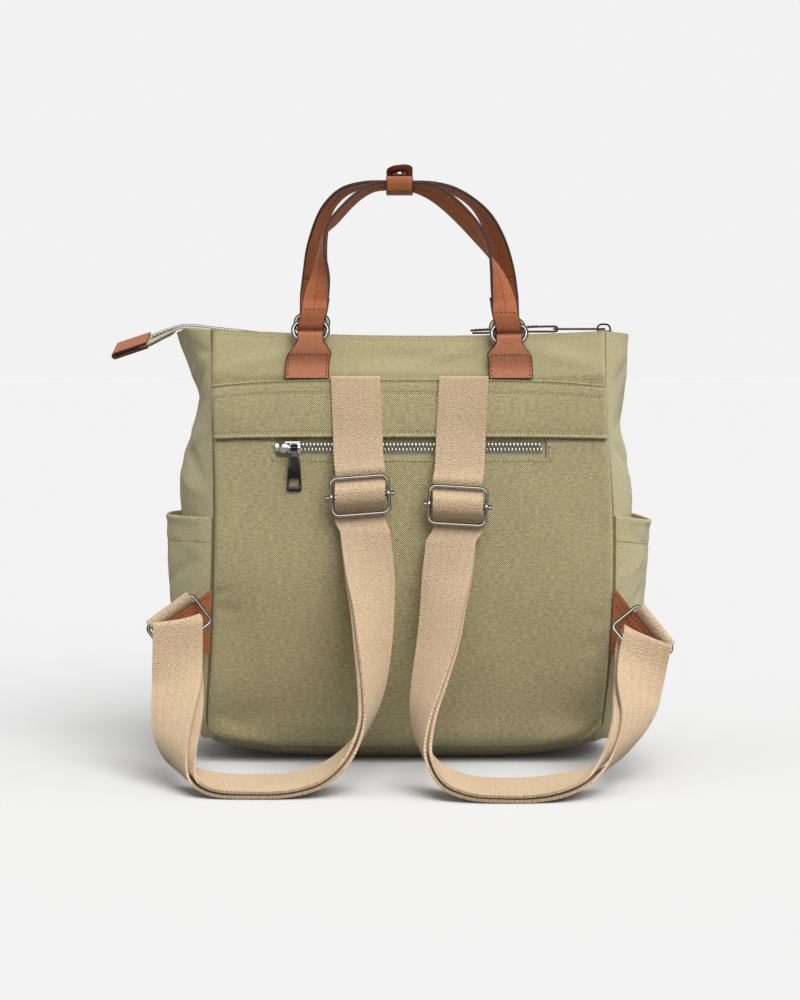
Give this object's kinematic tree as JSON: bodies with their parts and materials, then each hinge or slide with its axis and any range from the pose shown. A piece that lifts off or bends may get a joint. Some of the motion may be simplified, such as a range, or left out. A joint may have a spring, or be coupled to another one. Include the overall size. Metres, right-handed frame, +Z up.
{
  "type": "backpack",
  "caption": "Soft canvas backpack with webbing shoulder straps, leather carrying handles, side pockets, a top zip and a back zip pocket, standing on its base.",
  "frame": {"origin": "centre of the base on the floor that the bag stands on", "axes": "+Z up, the shoulder straps' side faces -Y, +X to the right of a viewer who faces the straps"},
  "size_m": [0.4391, 0.2856, 0.4668],
  "materials": {
    "canvas": "light sage green cotton canvas, plain weave, matt",
    "zip_tape": "woven beige zip tape, matt",
    "leather": "smooth cognac leather with dark painted edges, half matt",
    "nickel": "polished nickel plated wire, zip teeth and snap",
    "webbing": "thick woven beige cotton webbing, matt",
    "gunmetal": "dark plated zip pull, half gloss"
  },
  "bodies": {
    "bag": {"back_panel": "canvas", "front_panel": "canvas", "gusset_left": "canvas", "gusset_right": "canvas", "side_pocket_left": "canvas", "side_pocket_right": "canvas", "base_panel": "canvas", "yoke_band": "canvas", "top_facing_back": "canvas", "top_facing_front": "canvas", "top_zip_tape": "zip_tape", "back_zip_tape": "zip_tape", "zip_end_tab": "leather", "top_pull_tab": "leather", "handle_tab_back_left": "leather", "handle_tab_back_right": "leather", "handle_tab_front_left": "leather", "handle_tab_front_right": "leather", "handle_back": "leather", "handle_front": "leather", "handle_wrap": "leather", "side_tab_left": "leather", "side_tab_right": "leather", "top_zip_teeth": "nickel", "top_zip_slider": "nickel", "top_zip_link": "nickel", "back_zip_teeth": "nickel", "back_zip_slider": "nickel", "handle_ring_back_left": "nickel", "handle_ring_back_right": "nickel", "handle_ring_front_left": "nickel", "handle_ring_front_right": "nickel", "wrap_snap": "nickel", "adjuster_frame_left": "nickel", "adjuster_frame_right": "nickel", "adjuster_bar_left": "nickel", "adjuster_bar_right": "nickel", "strap_ring_left": "nickel", "strap_ring_right": "nickel", "strap_left": "webbing", "strap_right": "webbing", "ring_loop_left": "webbing", "ring_loop_right": "webbing"},
    "zip_pull": {"back_zip_pull": "gunmetal"}
  },
  "joints": [
    {"name": "zip_pull_hinge", "type": "hinge", "parent": "bag", "child": "zip_pull", "pos_m": [-0.0874, -0.06717, 0.2454], "axis": [-1, 0, 0], "range_deg": [0, 165]}
  ]
}
